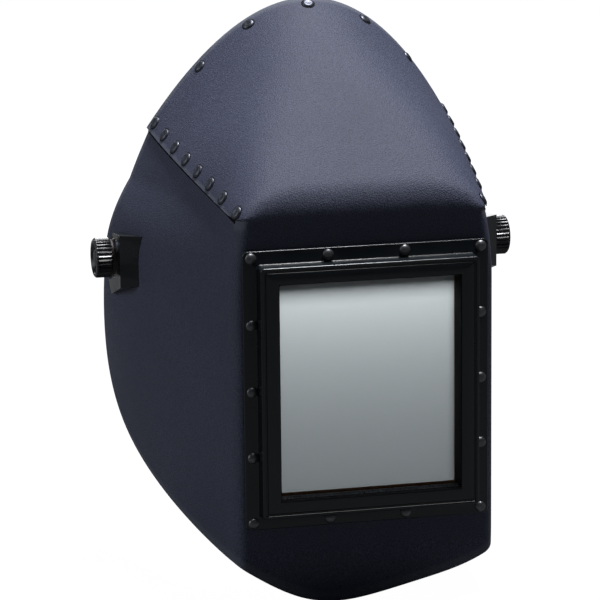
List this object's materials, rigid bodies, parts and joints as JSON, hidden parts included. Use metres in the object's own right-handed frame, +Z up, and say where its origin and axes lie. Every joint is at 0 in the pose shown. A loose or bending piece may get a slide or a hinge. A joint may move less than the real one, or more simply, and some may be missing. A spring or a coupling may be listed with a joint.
{
  "type": "welding helmet",
  "caption": "Flip-up welding helmet: folded fibre shell with riveted crown, framed plate window, tilt pivots with friction knobs and a ratchet headgear inside",
  "frame": {"origin": "midpoint of the tilt axis, between the two pivot studs", "axes": "+X across the helmet to the wearer's left, -Y the way the window faces, +Z up with the shell down over the face"},
  "size_m": [0.256, 0.2793, 0.33],
  "materials": {
    "fibre": "vulcanised fibre with a fine pebbled grain",
    "rivet": "dark oxidised steel",
    "moulding": "moulded satin black",
    "knob": "moulded black, polished",
    "steel": "plain",
    "clear_plate": "polished clear",
    "filter": "reflective grey filter",
    "gasket": "pressed fibre board",
    "band": "moulded nylon",
    "pad": "knitted foam-backed cloth",
    "button": "moulded snap button"
  },
  "bodies": {
    "headgear": {"pivot_stud_left": "steel", "pivot_stud_right": "steel", "inner_washer_left": "gasket", "inner_washer_right": "gasket", "outer_washer_left": "steel", "outer_washer_right": "steel", "spring_washer_left": "steel", "spring_washer_right": "steel", "front_band": "band", "sweatband": "pad", "side_arm_left": "band", "side_arm_right": "band", "arm_rivets": "button", "rear_band_left": "band", "rear_band_right": "band", "band_rivets": "button", "ratchet_housing": "band", "ratchet_cover": "band", "housing_screws": "steel", "click_spring": "steel", "nape_pad": "pad", "crown_strap_left": "band", "crown_strap_right": "band", "strap_buttons": "button"},
    "shell": {"fibre_shell": "fibre", "seam_rivets_left": "rivet", "seam_rivets_right": "rivet", "crown_rivets": "rivet", "crown_stiffener": "fibre", "window_frame": "moulding", "frame_rivets": "rivet", "backing_frame": "steel", "cover_plate": "clear_plate", "cover_gasket": "gasket", "filter_plate": "filter", "rear_gasket": "gasket", "inner_plate": "clear_plate", "pivot_block_left": "moulding", "pivot_block_right": "moulding", "pivot_pad_left": "moulding", "pivot_pad_right": "moulding", "block_rivets": "rivet"},
    "bail": {"plate_bail": "steel"},
    "knob_left": {"friction_knob_left": "knob"},
    "knob_right": {"friction_knob_right": "knob"},
    "ratchet": {"pinion": "band", "ratchet_knob": "knob"},
    "rack_left_strip": {"rack_left": "band"},
    "rack_right_strip": {"rack_right": "band"}
  },
  "joints": [
    {"name": "shell_tilt", "type": "hinge", "parent": "headgear", "child": "shell", "pos_m": [0, 0, 0], "axis": [-1, 0, 0], "range_deg": [0, 75]},
    {"name": "bail_swing", "type": "hinge", "parent": "shell", "child": "bail", "pos_m": [0, -0.1356, -0.1158], "axis": [-1, 0, 0], "range_deg": [0, 25]},
    {"name": "knob_left_turn", "type": "hinge", "parent": "headgear", "child": "knob_left", "pos_m": [-0.122, 0, 0], "axis": [-1, 0, 0], "range_deg": [-180, 180]},
    {"name": "knob_right_turn", "type": "hinge", "parent": "headgear", "child": "knob_right", "pos_m": [0.122, 0, 0], "axis": [1, 0, 0], "range_deg": [-180, 180]},
    {"name": "ratchet_turn", "type": "hinge", "parent": "headgear", "child": "ratchet", "pos_m": [0, 0.10726, -0.01735], "axis": [0, 0.9659, -0.2588], "range_deg": [-70, 70]},
    {"name": "rack_left_slide", "type": "slide", "parent": "headgear", "child": "rack_left_strip", "axis": [1, 0, 0], "range_m": [-0.00615, 0.00615]},
    {"name": "rack_right_slide", "type": "slide", "parent": "headgear", "child": "rack_right_strip", "axis": [-1, 0, 0], "range_m": [-0.00615, 0.00615]}
  ],
  "couplings": [
    {"joint": "rack_left_slide", "follows": "ratchet_turn", "m_per_rad": 0.005},
    {"joint": "rack_right_slide", "follows": "ratchet_turn", "m_per_rad": 0.005}
  ]
}
